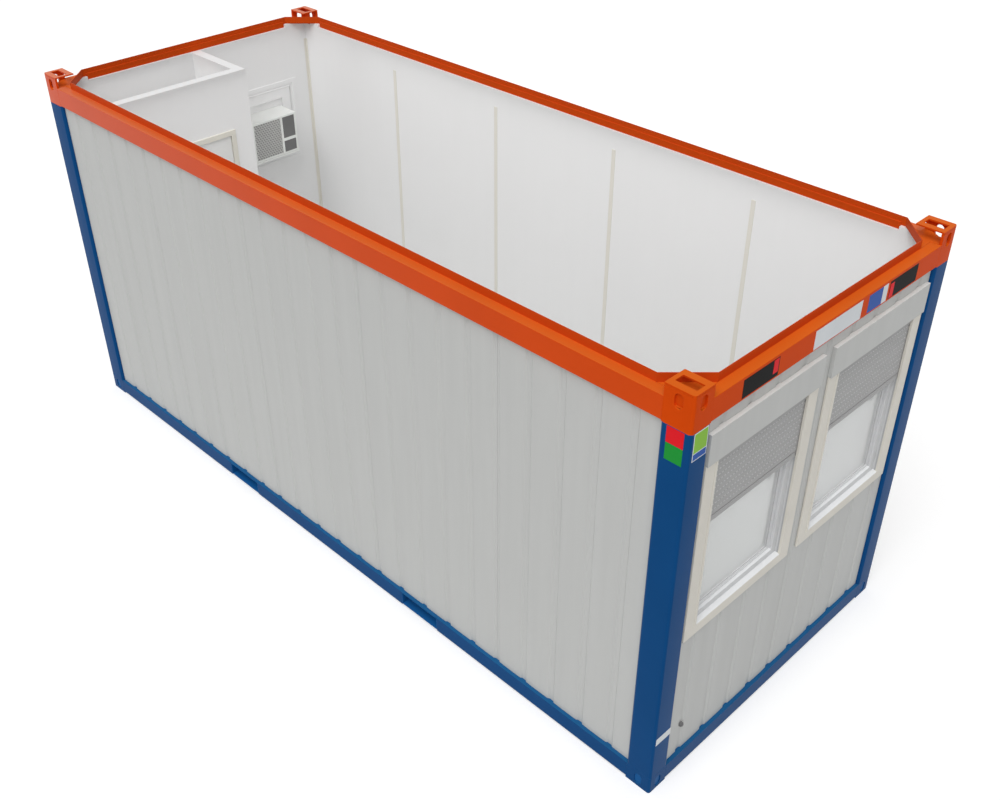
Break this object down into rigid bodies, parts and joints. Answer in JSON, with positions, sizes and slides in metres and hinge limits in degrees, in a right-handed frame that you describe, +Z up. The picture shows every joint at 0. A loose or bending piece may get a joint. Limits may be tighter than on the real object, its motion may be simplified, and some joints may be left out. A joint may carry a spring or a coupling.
{
  "type": "portable site cabin",
  "caption": "Roofless steel-framed portable cabin with panel walls, shuttered windows, a lobby with a hinged inner door and forklift pockets.",
  "frame": {"origin": "under the middle of the cabin, on the plane its corner fittings rest on", "axes": "+X along the length towards the window end, -Y out of the front long wall, +Z up"},
  "size_m": [6.055, 2.435, 2.815],
  "materials": {
    "orange_frame": "gloss enamel",
    "blue_frame": "gloss enamel",
    "dark_steel": "matte primer",
    "grey_panel": "satin coil coating",
    "white_panel": "satin coil coating",
    "cream_steel": "satin enamel",
    "floor_covering": "matte sheet flooring",
    "window_plastic": "satin white frame",
    "window_glass": "clear insulating glass",
    "shutter_slats": "satin grey slats",
    "handle_black": "satin black",
    "door_laminate": "white laminate",
    "aircon_case": "satin white with dark grilles"
  },
  "bodies": {
    "cabin": {"corner_post_front_left": "blue_frame", "corner_post_front_right": "blue_frame", "corner_post_back_left": "blue_frame", "corner_post_back_right": "blue_frame", "top_fittings_left": "orange_frame", "top_fittings_right": "orange_frame", "bottom_corner_fittings": "blue_frame", "roof_corner_gussets": "orange_frame", "top_rail_front": "orange_frame", "top_rail_back": "orange_frame", "top_rail_left": "orange_frame", "top_rail_right": "orange_frame", "bottom_rail_front": "blue_frame", "bottom_rail_back": "blue_frame", "bottom_rail_left": "blue_frame", "bottom_rail_right": "blue_frame", "fork_tunnels": "blue_frame", "floor_joists": "dark_steel", "floor_deck": "floor_covering", "front_wall": "grey_panel", "back_wall": "grey_panel", "window_wall_front": "grey_panel", "window_wall_back": "grey_panel", "door_wall_front": "grey_panel", "door_wall_back": "grey_panel", "window_frame_front": "window_plastic", "window_frame_back": "window_plastic", "window_panes": "window_glass", "shutter_box_front": "grey_panel", "shutter_box_back": "grey_panel", "shutter_curtains": "shutter_slats", "entrance_frame": "cream_steel", "entrance_leaf": "grey_panel", "entrance_handles": "handle_black", "lobby_side_wall": "white_panel", "lobby_door_pier": "white_panel", "lobby_over_door": "white_panel", "lobby_corner_pier": "white_panel", "inner_door_frame": "cream_steel", "aircon_unit": "aircon_case", "aircon_surround": "white_panel", "cover_strips": "cream_steel"},
    "inner_door": {"inner_door_leaf": "door_laminate", "inner_door_handles": "handle_black"}
  },
  "joints": [
    {"name": "inner_door_hinge", "type": "hinge", "parent": "cabin", "child": "inner_door", "pos_m": [-2.2805, -0.9005, 1.2], "axis": [0, 0, -1], "range_deg": [0, 95]}
  ]
}
